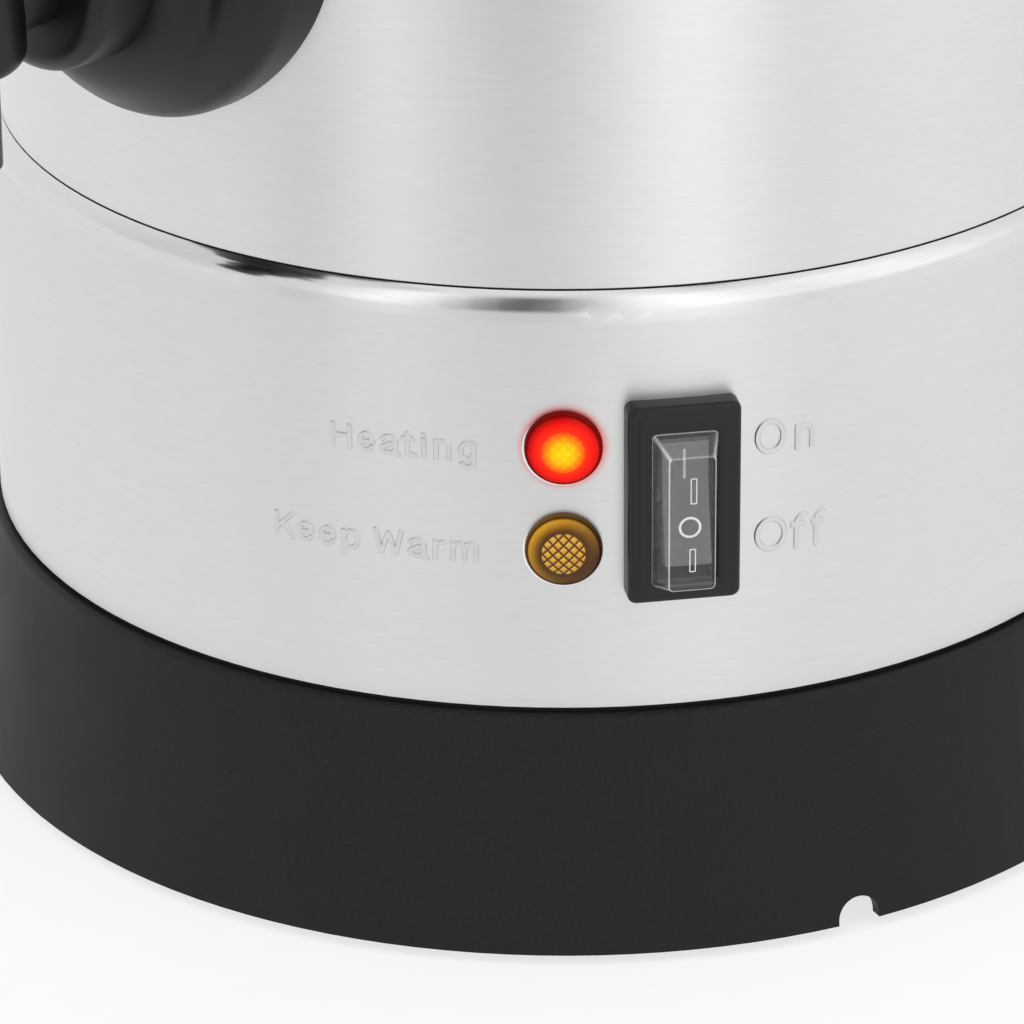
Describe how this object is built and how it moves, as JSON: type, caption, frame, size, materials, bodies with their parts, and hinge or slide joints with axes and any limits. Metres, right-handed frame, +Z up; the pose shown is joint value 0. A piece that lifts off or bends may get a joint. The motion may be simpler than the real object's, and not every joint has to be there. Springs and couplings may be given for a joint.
{
  "type": "coffee urn",
  "caption": "Percolator coffee urn: steel vessel on a steel band and flared black base, with a lever tap, level gauge, covered rocker switch, signal lamps, side handles and lift-off lid.",
  "frame": {"origin": "on the urn's vertical axis, on the surface that the rubber feet stand on", "axes": "+Z up along the vessel's axis, the tap faces -Y, +X runs across from the left to the right handle"},
  "size_m": [0.3024, 0.3315, 0.4209],
  "materials": {
    "base_plastic": "fine satin grain",
    "tap_plastic": "smooth satin",
    "lever_plastic": "smooth",
    "handle_plastic": "satin",
    "knob_plastic": "satin",
    "feet_rubber": "matte",
    "seal_rubber": "matte",
    "silicone": "translucent white",
    "band_steel": "brushed along the band",
    "vessel_steel": "brushed round the body",
    "lid_steel": "spun",
    "basket_steel": "satin",
    "hardware_steel": "bright zinc",
    "bottom_steel": "plain sheet",
    "aluminium": "cast",
    "element_steel": "heat stained",
    "control_plastic": "moulded",
    "fuse_sleeve": "sleeve",
    "block_plastic": "moulded",
    "wire_cover": "heat resistant cover",
    "red_lens": "clear red, lit",
    "amber_lens": "clear amber, faceted inside",
    "switch_plastic": "smooth",
    "rocker_plastic": "smooth, printed signs",
    "clear_cover": "clear soft cover",
    "inlet_plastic": "moulded",
    "pin_metal": "plated",
    "nut_metal": "turned",
    "gauge_glass": "clear"
  },
  "bodies": {
    "urn": {"base_ring": "base_plastic", "tap_rosette": "tap_plastic", "tap_body": "tap_plastic", "tap_bonnet": "tap_plastic", "gauge_cap": "tap_plastic", "gauge_guard": "tap_plastic", "handle_right": "handle_plastic", "handle_left": "handle_plastic", "rubber_feet": "feet_rubber", "seam_seal": "seal_rubber", "tap_seals": "silicone", "gauge_seals": "silicone", "wall_washers": "silicone", "lower_housing": "band_steel", "vessel": "vessel_steel", "bottom_screws": "hardware_steel", "tie_rods": "hardware_steel", "tie_nuts": "hardware_steel", "handle_screws": "hardware_steel", "gauge_screw": "hardware_steel", "inlet_screws": "hardware_steel", "lever_pin": "hardware_steel", "valve_spring": "hardware_steel", "switch_terminals": "hardware_steel", "bottom_plate": "bottom_steel", "heat_plate": "aluminium", "keep_warm_element": "element_steel", "pump_heater": "element_steel", "thermostat": "control_plastic", "lamp_holders": "control_plastic", "thermal_fuse": "fuse_sleeve", "terminal_block": "block_plastic", "wiring": "wire_cover", "red_lamp_lens": "red_lens", "amber_lamp_lens": "amber_lens", "switch_housing": "switch_plastic", "switch_cover": "clear_cover", "inlet_body": "inlet_plastic", "inlet_pins": "pin_metal", "tap_nut": "nut_metal", "gauge_tube": "gauge_glass"},
    "lever": {"tap_lever": "lever_plastic"},
    "valve": {"valve_stem": "hardware_steel", "valve_seal": "silicone"},
    "rocker": {"switch_rocker": "rocker_plastic"},
    "lid": {"lid_shell": "lid_steel", "lid_knob": "knob_plastic", "knob_screw": "hardware_steel", "knob_washer": "silicone"},
    "spreader": {"basket_spreader": "basket_steel"},
    "basket": {"brew_basket": "basket_steel"},
    "pump": {"pump_tube": "basket_steel", "pump_foot": "basket_steel", "basket_collar": "basket_steel"}
  },
  "joints": [
    {"name": "lever_hinge", "type": "hinge", "parent": "urn", "child": "lever", "pos_m": [0, -0.1632, 0.2186], "axis": [1, 0, 0], "range_deg": [0, 25], "stiffness_Nm_per_rad": 0.05, "springref_deg": -11.46},
    {"name": "valve_slide", "type": "slide", "parent": "urn", "child": "valve", "axis": [0, 0, 1], "range_m": [0, 0.0035]},
    {"name": "rocker_hinge", "type": "hinge", "parent": "urn", "child": "rocker", "pos_m": [0.09044, -0.06607, 0.0905], "axis": [0.5899, 0.8075, 0], "range_deg": [0, 16]},
    {"name": "lid_lift", "type": "slide", "parent": "urn", "child": "lid", "axis": [0, 0, 1], "range_m": [0, 0.6]},
    {"name": "spreader_lift", "type": "slide", "parent": "urn", "child": "spreader", "axis": [0, 0, 1], "range_m": [0, 0.51]},
    {"name": "basket_lift", "type": "slide", "parent": "urn", "child": "basket", "axis": [0, 0, 1], "range_m": [0, 0.42]},
    {"name": "pump_lift", "type": "slide", "parent": "urn", "child": "pump", "axis": [0, 0, 1], "range_m": [0, 0.33]}
  ],
  "couplings": [
    {"joint": "valve_slide", "follows": "lever_hinge", "m_per_rad": 0.0080213},
    {"joint": "spreader_lift", "follows": "lid_lift", "ratio": 0.85},
    {"joint": "basket_lift", "follows": "lid_lift", "ratio": 0.7},
    {"joint": "pump_lift", "follows": "lid_lift", "ratio": 0.55}
  ]
}
